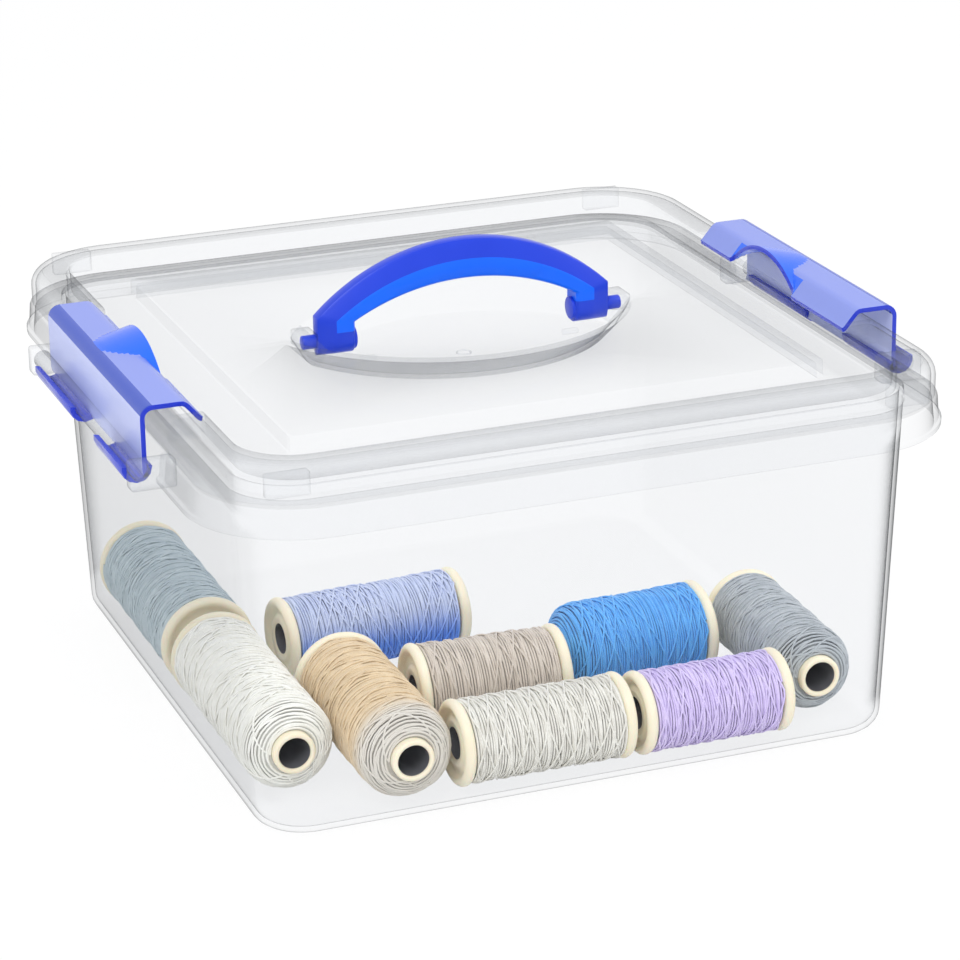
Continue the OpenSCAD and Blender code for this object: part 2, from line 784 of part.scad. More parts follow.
module slate_bobbin() lay(slate_x, slate_y, slate_r, 90) bobbin(slate_l, slate_r, false, false);
module slate_thread() color([0.66, 0.74, 0.79])
    lay(slate_x, slate_y, slate_r, 90) thread_core(slate_l, slate_r, false, false);
module slate_turns() color([0.6, 0.69, 0.75])
    lay(slate_x, slate_y, slate_r, 90)
        outer_turns(slate_l, slate_r, false, false, long_turns, "slate");

module white_bobbin() lay(white_x, white_y, white_r, 90) bobbin(white_l, white_r, true, false);
module white_thread() color([0.94, 0.94, 0.9])
    lay(white_x, white_y, white_r, 90) thread_core(white_l, white_r, true, false);
module white_turns() color([0.9, 0.9, 0.86])
    lay(white_x, white_y, white_r, 90)
        outer_turns(white_l, white_r, true, false, long_turns, "white");

module tan_bobbin() lay(tan_x, tan_y, tan_r, 90) bobbin(tan_l, tan_r, true, false);
module tan_thread() color([0.85, 0.76, 0.64])
    lay(tan_x, tan_y, tan_r, 90) thread_core(tan_l, tan_r, true, false);
module tan_turns() color([0.8, 0.7, 0.57])
    lay(tan_x, tan_y, tan_r, 90) outer_turns(tan_l, tan_r, true, false, long_turns, "tan");

module sky_bobbin() lay(sky_x, sky_y, sky_r, sky_turn) bobbin(sky_l, sky_r, false, false);
module sky_thread() color([0.66, 0.74, 0.93])
    lay(sky_x, sky_y, sky_r, sky_turn) thread_core(sky_l, sky_r, false, false);
module sky_turns() color([0.6, 0.69, 0.92])
    lay(sky_x, sky_y, sky_r, sky_turn)
        outer_turns(sky_l, sky_r, false, false, short_turns, "sky");

module taupe_bobbin() lay(taupe_x, taupe_y, taupe_r, taupe_turn)
    bobbin(taupe_l, taupe_r, false, false);
module taupe_thread() color([0.76, 0.71, 0.67])
    lay(taupe_x, taupe_y, taupe_r, taupe_turn) thread_core(taupe_l, taupe_r, false, false);
module taupe_turns() color([0.72, 0.66, 0.62])
    lay(taupe_x, taupe_y, taupe_r, taupe_turn)
        outer_turns(taupe_l, taupe_r, false, false, short_turns, "taupe");

module ivory_bobbin() lay(ivory_x, ivory_y, ivory_r, 0) bobbin(ivory_l, ivory_r, false, false);
module ivory_thread() color([0.87, 0.86, 0.82])
    lay(ivory_x, ivory_y, ivory_r, 0) thread_core(ivory_l, ivory_r, false, false);
module ivory_turns() color([0.82, 0.81, 0.77])
    lay(ivory_x, ivory_y, ivory_r, 0)
        outer_turns(ivory_l, ivory_r, false, false, short_turns, "ivory");

module blue_bobbin() lay(blue_x, blue_y, blue_r, blue_turn) bobbin(blue_l, blue_r, true, false);
module blue_thread() color([0.32, 0.6, 0.9])
    lay(blue_x, blue_y, blue_r, blue_turn) thread_core(blue_l, blue_r, true, false);
module blue_turns() color([0.26, 0.54, 0.87])
    lay(blue_x, blue_y, blue_r, blue_turn)
        outer_turns(blue_l, blue_r, true, false, short_turns, "blue");

module lilac_bobbin() lay(lilac_x, lilac_y, lilac_r, lilac_turn)
    bobbin(lilac_l, lilac_r, false, false);
module lilac_thread() color([0.82, 0.76, 0.93])
    lay(lilac_x, lilac_y, lilac_r, lilac_turn) thread_core(lilac_l, lilac_r, false, false);
module lilac_turns() color([0.77, 0.7, 0.9])
    lay(lilac_x, lilac_y, lilac_r, lilac_turn)
        outer_turns(lilac_l, lilac_r, false, false, short_turns, "lilac");

module grey_bobbin() lay(grey_x, grey_y, grey_r, grey_turn) bobbin(grey_l, grey_r, true, false);
module grey_thread() color([0.68, 0.71, 0.73])
    lay(grey_x, grey_y, grey_r, grey_turn) thread_core(grey_l, grey_r, true, false);
module grey_turns() color([0.62, 0.65, 0.68])
    lay(grey_x, grey_y, grey_r, grey_turn)
        outer_turns(grey_l, grey_r, true, false, long_turns, "grey");

tub();
tub_floor();
lid();
handle();
left_latch();
right_latch();
slate_bobbin();
slate_thread();
slate_turns();
white_bobbin();
white_thread();
white_turns();
tan_bobbin();
tan_thread();
tan_turns();
sky_bobbin();
sky_thread();
sky_turns();
taupe_bobbin();
taupe_thread();
taupe_turns();
ivory_bobbin();
ivory_thread();
ivory_turns();
blue_bobbin();
blue_thread();
blue_turns();
lilac_bobbin();
lilac_thread();
lilac_turns();
grey_bobbin();
grey_thread();
grey_turns();
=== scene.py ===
import math

import bpy
import bmesh
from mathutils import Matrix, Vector


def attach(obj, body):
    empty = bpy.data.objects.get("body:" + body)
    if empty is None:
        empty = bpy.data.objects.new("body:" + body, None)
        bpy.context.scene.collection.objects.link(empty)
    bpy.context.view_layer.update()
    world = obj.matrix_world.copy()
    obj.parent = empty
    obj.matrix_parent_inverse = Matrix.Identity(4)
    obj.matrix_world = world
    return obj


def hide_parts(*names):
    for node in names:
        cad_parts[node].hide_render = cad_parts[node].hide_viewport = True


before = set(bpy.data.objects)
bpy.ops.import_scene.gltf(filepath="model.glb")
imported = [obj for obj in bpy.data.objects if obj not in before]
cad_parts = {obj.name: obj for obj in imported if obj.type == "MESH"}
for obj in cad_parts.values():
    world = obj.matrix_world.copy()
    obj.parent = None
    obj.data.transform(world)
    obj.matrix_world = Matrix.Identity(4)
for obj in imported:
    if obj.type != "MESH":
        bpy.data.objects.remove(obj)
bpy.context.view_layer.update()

# The camera stands where the photographer's did: to the left of the box's front, looking down
# at it through a long lens. Its place was solved from the box's straight edges.
camera = bpy.data.objects.new("camera", bpy.data.cameras.new("camera"))
camera.data.sensor_width = 36
camera.data.lens = 129.42
camera.data.clip_start = 0.05
camera.data.clip_end = 60
camera.location = (-0.48976, -1.30758, 0.60381)
camera.rotation_euler = [math.radians(a) for a in (69.59, 0.86, -21.11)]
bpy.context.scene.collection.objects.link(camera)
bpy.context.scene.camera = camera
bpy.context.scene.view_settings.view_transform = "Standard"
bpy.context.scene.cycles.transparent_max_bounces = 32


# The studio: a white table under a white tent, with one large soft lamp over the left shoulder
# and a weaker one at the right. The table and the tent look plain white to the camera.
TABLE_HALF = 9
TABLE_Z = -0.0005
TABLE_GLOW = 0.93
LAMPS_AIM = Vector((0, 0, 0.05))


def feed(tree, socket, value):
    """Links another node's output to a socket, or sets the socket to a plain value."""
    if isinstance(value, bpy.types.NodeSocket):
        tree.links.new(value, socket)
    else:
        socket.default_value = value


def node(tree, kind, **inputs):
    """A shader or geometry node with some of its inputs set or linked, by name."""
    made = tree.nodes.new(kind)
    for name, value in inputs.items():
        socket = next(s for s in made.inputs if s.name.replace(" ", "_") == name and s.enabled)
        feed(tree, socket, value)
    return made


def maths(tree, operation, a, b=0.0):
    """The result of one sum on two sockets or numbers."""
    made = tree.nodes.new("ShaderNodeMath")
    made.operation = operation
    feed(tree, made.inputs[0], a)
    feed(tree, made.inputs[1], b)
    return made.outputs[0]


def mixed(tree, share, first, second):
    """A shader between two others: the first at a share of 0, and the second at 1."""
    mix = node(tree, "ShaderNodeMixShader", Fac=share)
    tree.links.new(first.outputs[0], mix.inputs[1])
    tree.links.new(second.outputs[0], mix.inputs[2])
    return mix


def shown(tree, shader, kind="ShaderNodeOutputMaterial"):
    """Makes the shader what the material or the world shows."""
    tree.links.new(shader.outputs[0], tree.nodes.new(kind).inputs[0])


def new_material(name):
    """A material and its tree of shader nodes, still empty."""
    material = bpy.data.materials.new(name)
    material.use_nodes = True
    material.node_tree.nodes.clear()
    return material, material.node_tree


def seen_rays(tree):
    """1 for what the camera sees, straight on, in a gloss or through a clear wall."""
    rays = tree.nodes.new("ShaderNodeLightPath").outputs
    return maths(tree, "MAXIMUM", rays["Is Camera Ray"],
                 maths(tree, "MAXIMUM", rays["Is Glossy Ray"], rays["Is Transmission Ray"]))


world = bpy.data.worlds.new("studio")
bpy.context.scene.world = world
world.use_nodes = True
tent = world.node_tree
tent.nodes.clear()
tent_light = node(tent, "ShaderNodeBackground", Color=(0.95, 0.97, 1.0, 1), Strength=0.95)
tent_seen = node(tent, "ShaderNodeBackground", Color=(1, 1, 1, 1), Strength=1.0)
shown(tent, mixed(tent, seen_rays(tent), tent_light, tent_seen), "ShaderNodeOutputWorld")

table_corners = [(x * TABLE_HALF, y * TABLE_HALF, TABLE_Z)
                 for x, y in ((-1, -1), (1, -1), (1, 1), (-1, 1))]
table_mesh = bpy.data.meshes.new("table")
table_mesh.from_pydata(table_corners, [], [(0, 1, 2, 3)])
table = bpy.data.objects.new("table", table_mesh)
bpy.context.scene.collection.objects.link(table)
white_table, sheet = new_material("white_table")
sheet_lit = node(sheet, "ShaderNodeBsdfDiffuse", Color=(0.9, 0.9, 0.9, 1))
sheet_seen = node(sheet, "ShaderNodeEmission", Color=(1, 1, 1, 1), Strength=1.0)
glow = maths(sheet, "MULTIPLY", seen_rays(sheet), TABLE_GLOW)
shown(sheet, mixed(sheet, glow, sheet_lit, sheet_seen))
table_mesh.materials.append(white_table)

for name, place, size, watts in (("key_lamp", (-0.9, -1.2, 1.9), 1.2, 24.0),
                                 ("fill_lamp", (1.5, -0.3, 1.3), 1.0, 9.0)):
    lamp = bpy.data.objects.new(name, bpy.data.lights.new(name, "AREA"))
    lamp.data.size = size
    lamp.data.energy = watts
    lamp.location = place
    lamp.rotation_euler = (LAMPS_AIM - Vector(place)).to_track_quat("-Z", "Y").to_euler()
    bpy.context.scene.collection.objects.link(lamp)


# The tub: a deep clear box, injection moulded in one shot with its rim. The walls lean outwards
# so that it leaves the mould, the rim is a flange with a flared skirt, and the lip stands inside.
# From here on sizes are in millimetres, and MM turns them into metres.
MM = 0.001
MERGE = 0.005
NOTCH_FRONT, NOTCH_REAR = -82, 64
FRONT_STOPS = (0, -40, NOTCH_FRONT + 0.1, NOTCH_FRONT, -100)
REAR_STOPS = (0, 30, NOTCH_REAR - 0.1, NOTCH_REAR, 100)
CORNER_STEPS, STRAIGHT_STEPS = 16, 5
BASE_HALF_X, BASE_HALF_Y, BASE_CORNER = 137.5, 140.8, 22
SIDE_DRAFT, END_DRAFT, CORNER_GROWTH = 5.1, 6.8, 3
FLANGE_Z = 147.1
WALL, FLOOR, FOOT_R = 1.8, 2.4, 7


def outline(half_x, half_y, radius, z):
    """Points round a rectangle with round corners, anticlockwise from the middle of the right.

    Each side has the same stops for every size, two of them close together at either end of
    the notch that a latch lies in."""
    quarter = []
    for step in range(CORNER_STEPS + 1):
        a = math.radians(90 * step / CORNER_STEPS)
        quarter.append((half_x - radius + radius * math.cos(a),
                        half_y - radius + radius * math.sin(a)))
    for step in range(1, STRAIGHT_STEPS):
        quarter.append(((half_x - radius) * (1 - step / STRAIGHT_STEPS), half_y))
    points = [(half_x, y) for y in REAR_STOPS] + quarter + [(0.0, half_y)]
    points += [(-x, y) for x, y in reversed(quarter)]
    points += [(-half_x, y) for y in reversed(REAR_STOPS)]
    points += [(-half_x, y) for y in FRONT_STOPS[1:]] + [(-x, -y) for x, y in quarter]
    points += [(0.0, -half_y)] + [(x, -y) for x, y in reversed(quarter)]
    points += [(half_x, y) for y in reversed(FRONT_STOPS[1:])]
    return [(x * MM, y * MM, z * MM) for x, y in points]


def new_piece(name, points, faces):
    """An object of plain points and faces."""
    mesh = bpy.data.meshes.new(name)
    mesh.from_pydata(points, [], faces)
    piece = bpy.data.objects.new(name, mesh)
    bpy.context.scene.collection.objects.link(piece)
    return piece


def loft(name, loops, ring=False):
    """A skin over loops of as many points each: closed at both ends, or run round into a ring."""
    count = len(loops[0])
    faces = []
    for i in range(len(loops) - (0 if ring else 1)):
        low, high = i * count, (i + 1) % len(loops) * count
        for k in range(count):
            n = (k + 1) % count
            faces.append((low + k, low + n, high + n, high + k))
    if not ring:
        faces.append(tuple(reversed(range(count))))
        faces.append(tuple(range((len(loops) - 1) * count, len(loops) * count)))
    return new_piece(name, [point for loop in loops for point in loop], faces)


def tidy(piece, sharp=32.0, turn_out=True):
    """Merges doubles, turns faces outwards, and shades smooth up to an angle in degrees."""
    work = bmesh.new()
    work.from_mesh(piece.data)
    bmesh.ops.remove_doubles(work, verts=work.verts, dist=MERGE * MM)
    if turn_out:
        bmesh.ops.recalc_face_normals(work, faces=work.faces)
    for face in work.faces:
        face.smooth = True
    for edge in work.edges:
        edge.smooth = not (edge.is_manifold and edge.calc_face_angle(0) > math.radians(sharp))
    work.to_mesh(piece.data)
    work.free()
    return piece


def applied(piece):
    """Makes the result of the piece's modifiers its plain mesh."""
    view = bpy.context.evaluated_depsgraph_get()
    mesh = bpy.data.meshes.new_from_object(piece.evaluated_get(view))
    piece.modifiers.clear()
    old = piece.data
    piece.data = mesh
    bpy.data.meshes.remove(old)
    mesh.name = piece.name
    return piece


def side_block(name, side, x_span, y_span, z_span, bevel):
    """A block with rounded edges, on the right where side is 1 and on the left where it is -1.

    x_span is measured outwards from the middle, on either side."""
    corners = [(x * MM, y * MM, z * MM) for x in sorted(side * x for x in x_span)
               for y in sorted(y_span) for z in z_span]
    piece = new_piece(name, corners, [(0, 1, 3, 2), (4, 6, 7, 5), (0, 4, 5, 1), (2, 3, 7, 6),
                                      (0, 2, 6, 4), (1, 5, 7, 3)])
    if bevel:
        round_edges = piece.modifiers.new("round_edges", "BEVEL")
        round_edges.width = bevel * MM
        round_edges.segments = 3
        applied(piece)
    return tidy(piece)


def cut(piece, tool):
    """Takes another solid out of a piece."""
    knife = piece.modifiers.new("cut", "BOOLEAN")
    knife.operation = "DIFFERENCE"
    knife.solver = "EXACT"
    knife.object = tool
    knife.use_self = True
    applied(piece)
    bpy.data.objects.remove(tool)


def past(tree, value, start, stop):
    """0 up to the start and 1 from the stop on, with a soft change between them."""
    ramp = node(tree, "ShaderNodeMapRange", Value=value, From_Min=start, From_Max=stop)
    ramp.interpolation_type = "SMOOTHSTEP"
    return ramp.outputs[0]


def blended(tree, share, first, second):
    """A colour between two others: the first at a share of 0, and the second at 1."""
    blend = tree.nodes.new("ShaderNodeMix")
    blend.data_type = "RGBA"
    feed(tree, blend.inputs["Factor"], share)
    for title, colour in (("A", first), ("B", second)):
        plain = not isinstance(colour, bpy.types.NodeSocket)
        feed(tree, blend.inputs[title], (*colour, 1) if plain else colour)
    return blend.outputs["Result"]


def clear_plastic(name, haze, dark, rim_z, foot_z=0.0, flat_x=9.0, flat_y=9.0):
    """Clear moulded plastic: next to nothing face on, and grey where it is seen along its skin.

    The grey is painted shade, for the darker studio that a real clear wall bends and mirrors
    towards the camera at a slant. The sizes are in metres. The walls are flat within flat_x and
    flat_y of the middle. Past them come the upright corners, from foot_z up, and above rim_z comes
    the rim. There the plastic turns away, and the painted shade spreads wider; on the corners it
    is also deeper. dark is the grey of the painted shade."""
    edge_power, rim_ease, corner_ease = 7.5, 3.0, 4.5
    edge_shade, corner_shade = 0.72, 0.25
    corner_run = 0.016
    material, tree = new_material(name)

    def calc(operation, a, b=0.0):
        return maths(tree, operation, a, b)

    place = tree.nodes.new("ShaderNodeTexCoord").outputs["Object"]
    ripple = node(tree, "ShaderNodeTexNoise", Vector=place, Scale=22.0, Detail=2.0)
    bump = node(tree, "ShaderNodeBump", Height=ripple.outputs["Fac"], Strength=0.1, Distance=0.002)
    facing = node(tree, "ShaderNodeLayerWeight", Blend=0.5).outputs["Facing"]
    x, y, z = node(tree, "ShaderNodeSeparateXYZ", Vector=place).outputs
    side = past(tree, calc("ABSOLUTE", x), flat_x, flat_x + corner_run)
    end = past(tree, calc("ABSOLUTE", y), flat_y, flat_y + corner_run)
    upright = calc("MULTIPLY", past(tree, z, foot_z, foot_z + 0.008),
                   past(tree, z, rim_z, rim_z - 0.006))
    corner = calc("MULTIPLY", calc("MULTIPLY", side, end), upright)
    rim = past(tree, z, rim_z, rim_z + 0.002)
    power = calc("SUBTRACT", edge_power, calc("MULTIPLY", rim, rim_ease))
    power = calc("SUBTRACT", power, calc("MULTIPLY", corner, corner_ease))
    depth = calc("ADD", calc("MULTIPLY", corner, corner_shade), edge_shade)
    # Painted shade: the see-through colour greys as the wall is seen more edge-on
    tone = blended(tree, calc("MULTIPLY", calc("POWER", facing, power), depth),
                   (0.982, 0.984, 0.987), (dark, dark * 1.03, dark * 1.08))
    skin = node(tree, "ShaderNodeBsdfPrincipled", Base_Color=(0.78, 0.80, 0.82, 1),
                Roughness=0.08, Normal=bump.outputs[0])
    through = node(tree, "ShaderNodeBsdfTransparent", Color=tone)
    gloss = calc("MULTIPLY", calc("POWER", facing, 5.0), 0.05)
    shown(tree, mixed(tree, calc("ADD", gloss, haze), through, skin))
    return material


def tub_ring(offset, z):
    """The tub's wall line at a height, moved out by an offset."""
    share = min(z, FLANGE_Z) / FLANGE_Z
    radius = BASE_CORNER + CORNER_GROWTH * share + offset * (1.24 if offset > 0 else 1)
    return outline(BASE_HALF_X + SIDE_DRAFT * share + offset,
                   BASE_HALF_Y + END_DRAFT * share + offset, radius, z)


def foot_arc(radius, low, angles):
    """The rounding between the floor and the wall, as (offset, height)."""
    return [(radius * math.sin(math.radians(a)) - FOOT_R,
             low + radius - radius * math.cos(math.radians(a))) for a in angles]


# Each pair is an offset from the wall's outer face and a height: up the outside, down and up
# round the flange's skirt, over the lip, and down the inside
tub_profile = foot_arc(FOOT_R, 0, range(0, 91, 15))
tub_profile += [(0, 40), (0, 90), (0, 142), (0.1, 144.5), (0.8, 145.2), (11.9, 145.3),
                (12.7, 144.8), (14.3, 134.7), (14.9, 134.5), (16.9, 134.5), (17.4, 134.9),
                (17.4, 137.1), (17.0, 137.6), (16.3, 137.9), (16.0, 138.5), (15.0, 146.1),
                (14.7, 146.8), (14.1, FLANGE_Z), (0.9, FLANGE_Z), (0.3, 147.3), (0.1, 147.9),
                (0.0, 149.9), (-0.3, 150.4), (-0.9, 150.5), (-1.5, 150.4), (-WALL, 149.9),
                (-WALL, 142), (-WALL, 90), (-WALL, 40)]
tub_profile += foot_arc(FOOT_R - WALL, FLOOR, range(90, -1, -15))
clear_tub = clear_plastic("clear_tub", haze=0.006, dark=0.08, rim_z=0.134, foot_z=0.008,
                          flat_x=0.114, flat_y=0.118)
tub = tidy(loft("tub_shell", [tub_ring(offset, z) for offset, z in tub_profile]))
for side in (-1, 1):
    cut(tub, side_block("notch", side, (153.6, 190), (NOTCH_FRONT, NOTCH_REAR), (132, 155), 0))
tidy(tub, turn_out=False)
tub.data.materials.clear()
tub.data.materials.append(clear_tub)
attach(tub, "tub")
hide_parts("tub", "tub_floor")


# The hinge bars: a clear round bar on each side, moulded with the tub and held clear of it by
# an upright block at each end. The latches snap onto these bars.
BAR_X, BAR_Z, BAR_R = 166.5, 141.3, 3.98
BAR_FRONT, BAR_LENGTH = -86, 154


def circle(count):
    """Angles evenly round a full turn."""
    return [2 * math.pi * k / count for k in range(count)]


def rod(name, low, length, radius, along, ends, sides=32):
    """A round bar with rounded ends, from its low end along x (0) or y (1)."""
    stations = [(0, 0.02), (0, radius - ends), (ends * 0.3, radius - ends * 0.3), (ends, radius)]
    stations += [(length - t, r) for t, r in reversed(stations)]
    loops = []
    for t, r in stations:
        loop = []
        for a in circle(sides):
            point = list(low)
            point[along] += t
            point[1 - along] += r * math.cos(a)
            point[2] += r * math.sin(a)
            loop.append([c * MM for c in point])
        loops.append(loop)
    return tidy(loft(name, loops))


def join(name, pieces):
    """One piece of several, with their material slots kept."""
    with bpy.context.temp_override(active_object=pieces[0], selected_objects=pieces,
                                   selected_editable_objects=pieces):
        bpy.ops.object.join()
    pieces[0].name = name
    pieces[0].data.name = name
    return pieces[0]


clear_bar = clear_plastic("clear_bar", haze=0.06, dark=0.2, rim_z=0.0)
bars = []
for side in (-1, 1):
    bars.append(rod("bar", (side * BAR_X, BAR_FRONT, BAR_Z), BAR_LENGTH, BAR_R, 1, 1.2))
    for y_span in ((-90, -82.2), (64.2, 72)):
        bars.append(side_block("bar_block", side, (153, 171.8), y_span, (134.9, 146.8), 1.4))
bars = join("hinge_bars", bars)
bars.data.materials.append(clear_bar)
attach(bars, "tub")


# The lid: one clear moulding. A skirt and a rounded rim go over the tub's lip, a sunk channel
# runs inside the rim, and a raised panel carries the lens-shaped recess that the handle folds into.
LENS_R, LENS_SHIFT, LENS_FLARE = 84.3848, 33.3848, 0.87963
LID_HALF_X, LID_HALF_Y, LID_CORNER = 156.1, 161.1, 41
SHOULDER_R, SHOULDER_INNER_R, SHOULDER_Z = 6.6, 4.8, 155.3
PANEL_HALF_X, PANEL_HALF_Y, PANEL_CORNER, PANEL_Z = 114.75, 111.7, 1.2, 158.1
LOOP_POINTS = len(outline(PANEL_HALF_X, PANEL_HALF_Y, PANEL_CORNER, PANEL_Z))
RIM_UNDER, RIM_OVER = 150.9, 152.8
TIP_X, TIP_REACH, TIP_STEPS = 66.6, 10.7, 8
TIP_R, TIP_SHIFT = 84.3, 33.45
LATCH_MIN_X = 120


def lens_loop(z, grow=0.0):
    """The recess is where two cones meet, so it is a lens that widens upwards."""
    reach = LENS_R + (z - PANEL_Z) * LENS_FLARE + grow
    tip = math.sqrt(reach ** 2 - LENS_SHIFT ** 2)
    points = []
    for turn in circle(LOOP_POINTS):
        x = tip * math.cos(turn)
        y = math.sqrt(max(reach ** 2 - x ** 2, 0)) - LENS_SHIFT
        points.append((x * MM, (y if turn <= math.pi else -y) * MM, z * MM))
    return points


def lid_ring(offset, z, groove=None):
    """The lid's edge line moved by an offset; in reach of a latch it takes the groove's height."""
    ring = outline(LID_HALF_X + offset, LID_HALF_Y + offset, LID_CORNER + offset, z)
    if groove is None:
        return ring
    front, rear = (NOTCH_FRONT + 0.05) * MM, (NOTCH_REAR - 0.05) * MM
    return [(x, y, groove * MM if front < y < rear and abs(x) > LATCH_MIN_X * MM else height)
            for x, y, height in ring]


def shoulder(turn, radius=SHOULDER_R):
    """The rounding from the skirt to the rim's top, as (offset, height)."""
    turn = math.radians(turn)
    return radius * math.cos(turn) - SHOULDER_R, SHOULDER_Z + radius * math.sin(turn)


def panel_loop(grow, z):
    """The raised panel's edge line, grown outwards."""
    return outline(PANEL_HALF_X + grow, PANEL_HALF_Y + grow, PANEL_CORNER + max(grow, 0), z)


# Under the recess and the panel, and along the underside of the channel
lid_loops = [lens_loop(145.5, 1.6), lens_loop(145.8, 2.2), lens_loop(155.7, 2.4),
             lens_loop(156.3, 3.0)]
lid_loops += [panel_loop(-2.6, 156.3), panel_loop(-2.0, 155.7), panel_loop(-1.8, 149.7),
              panel_loop(-1.2, 149.1)]
lid_loops += [lid_ring(-16.4, 149.1), lid_ring(-15.7, 149.7)]
# Up into the hollow rim, down the inside of the skirt, round its edge and up the outside
lid_loops += [lid_ring(-15.7, RIM_UNDER), lid_ring(-15.6, 159.6, RIM_UNDER),
              lid_ring(-15.0, 160.1, RIM_UNDER)]
lid_loops += [lid_ring(*shoulder(a, SHOULDER_INNER_R), RIM_UNDER) for a in (90, 70, 50, 30, 15, 0)]
lid_loops += [lid_ring(-1.8, RIM_UNDER), lid_ring(-1.8, 147.8), lid_ring(-1.5, 147.4),
              lid_ring(-0.3, 147.4), lid_ring(0, 147.8), lid_ring(0, 151.8)]
lid_loops += [lid_ring(*shoulder(a)) for a in (0, 12, 24, 36, 48, 60, 72)]
# Over the rim, whose middle drops to a ledge under each latch, and down into the channel
lid_loops += [lid_ring(-5.0, 161.68), lid_ring(-5.2, 161.5), lid_ring(-5.25, 161.74, 152.9),
              lid_ring(*shoulder(84), RIM_OVER), lid_ring(-6.6, 161.9, RIM_OVER),
              lid_ring(-15.9, 161.9, RIM_OVER), lid_ring(-16.7, 161.6, RIM_OVER),
              lid_ring(-17.1, 160.8, 152.7), lid_ring(-17.5, 152.5), lid_ring(-17.6, 151.3),
              lid_ring(-18.4, 150.9)]
# Up the panel's side, over its top and down into the recess
lid_loops += [panel_loop(1.2, 150.9), panel_loop(0.3, 151.1), panel_loop(0, 151.7),
              panel_loop(0, 157.4), panel_loop(-0.2, 157.9), panel_loop(-0.8, PANEL_Z)]
lid_loops += [lens_loop(PANEL_Z, 0.5), lens_loop(157.9, 0.0), lens_loop(148.2, 0.0),
              lens_loop(147.5, -0.4), lens_loop(147.3, -1.4)]
lid = tidy(loft("lid_shell", lid_loops))

tip_edge = []
for step in range(TIP_STEPS):
    x = TIP_X + TIP_REACH * step / TIP_STEPS
    tip_edge.append((x, math.sqrt(TIP_R ** 2 - x ** 2) - TIP_SHIFT))
tip_edge += [(x, -y) for x, y in reversed(tip_edge)]
lid_parts = [lid]
for side in (-1, 1):
    # The lens's tip is filled with plastic behind the handle's foot, and the pin runs in it
    tips = []
    for z, share_x, share_y in ((147.6, 0.36, 0.42), (158.0, 1, 1)):
        tips.append([(side * (TIP_X + (x - TIP_X) * share_x) * MM, y * share_y * MM, z * MM)
                     for x, y in tip_edge])
    lid_parts.append(tidy(loft("tip_fill", tips)))
    lid_parts.append(side_block("pin_bearing", side, (66.5, 74.8), (-6.5, 6.5),
                                (154.3, 160.96), 0.8))
    for end in (-1, 1):
        lid_parts.append(side_block("corner_stop", side, (121, 138.2), (end * 153.6, end * 158.6),
                                    (150.7, 160.0), 0.4))
    lid_parts.append(side_block("stop_rib", side, (42.0, 49.4), (-9.6, -7.6), (147.3, 149.9), 0.9))
lid = join("lid_shell", lid_parts)
lid.data.materials.append(clear_plastic("clear_lid", haze=0.012, dark=0.12, rim_z=0.1588))
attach(lid, "lid")
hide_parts("lid")


# The gate mark: the small ring that the mould's feed leaves on the floor of the recess, a little
# to the front and left of its middle.
GATE_X, GATE_Y, GATE_Z = -5, -14, 147.4
GATE_R, GATE_THICK = 3.0, 0.35
gate_loops = []
for a in circle(32):
    loop = []
    for b in circle(8):
        reach = GATE_R + GATE_THICK * math.cos(b)
        loop.append(((GATE_X + reach * math.cos(a)) * MM, (GATE_Y + reach * math.sin(a)) * MM,
                     (GATE_Z + GATE_THICK * math.sin(b)) * MM))
    gate_loops.append(loop)
gate = tidy(loft("gate_mark", gate_loops, ring=True))
gate.data.materials.append(clear_bar)
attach(gate, "lid")


# The handle: a solid bail in bright blue plastic, bevelled along its top, whose stub pins turn
# in the two bearings of the lid. Its feet are rounded about the pins so that it folds both ways.
PIVOT_Z = 156.1
OUTER_HALF, OUTER_R, OUTER_TOP = 66, 94.1667, 193.5
INNER_HALF, INNER_R, INNER_TOP = 50, 102.654, 177.1
BOW_STEPS = 60
BEVEL_POINTS = range(4, 12)
FEET_TOP = 161.3


def blue_plastic(name, colour, sheen_colour, rough):
    """Bright blue plastic with a faint cloud of a second tone in it and a fine grain."""
    material, tree = new_material(name)
    place = tree.nodes.new("ShaderNodeTexCoord").outputs["Object"]
    cloud = node(tree, "ShaderNodeTexNoise", Vector=place, Scale=35.0, Detail=3.0)
    grain = node(tree, "ShaderNodeTexNoise", Vector=place, Scale=900.0, Detail=2.0)
    tone = blended(tree, maths(tree, "MULTIPLY", cloud.outputs["Fac"], 0.6), colour, sheen_colour)
    bump = node(tree, "ShaderNodeBump", Height=grain.outputs["Fac"], Strength=0.05, Distance=0.0005)
    skin = node(tree, "ShaderNodeBsdfPrincipled", Base_Color=tone, Roughness=rough,
                Normal=bump.outputs[0], Specular_IOR_Level=0.3)
    shown(tree, skin)
    return material


def handle_section(inner, outer, narrow=1.0):
    """The bar's section between a point of its inner curve and one of its outer curve."""
    full_depth = 16
    steps = ((0, 4.9), (0.6, 5.6), (1.6, 6), (7.6, 6), (8.2, 5.75), (15.0, 3.5), (15.7, 3.0),
             (full_depth, 2.2))
    loop = []
    for side in (1, -1):
        for depth, half in steps[::side]:
            spot = inner + (outer - inner) * (depth / full_depth)
            loop.append((spot.x * MM, -side * half * narrow * MM, spot.y * MM))
    return loop


def bow_point(share, half, radius, top):
    """A point of the handle's upper bow, from its left end at -1 to its right end at 1."""
    turn = share * math.asin(half / radius)
    return Vector((radius * math.sin(turn), top - radius + radius * math.cos(turn)))


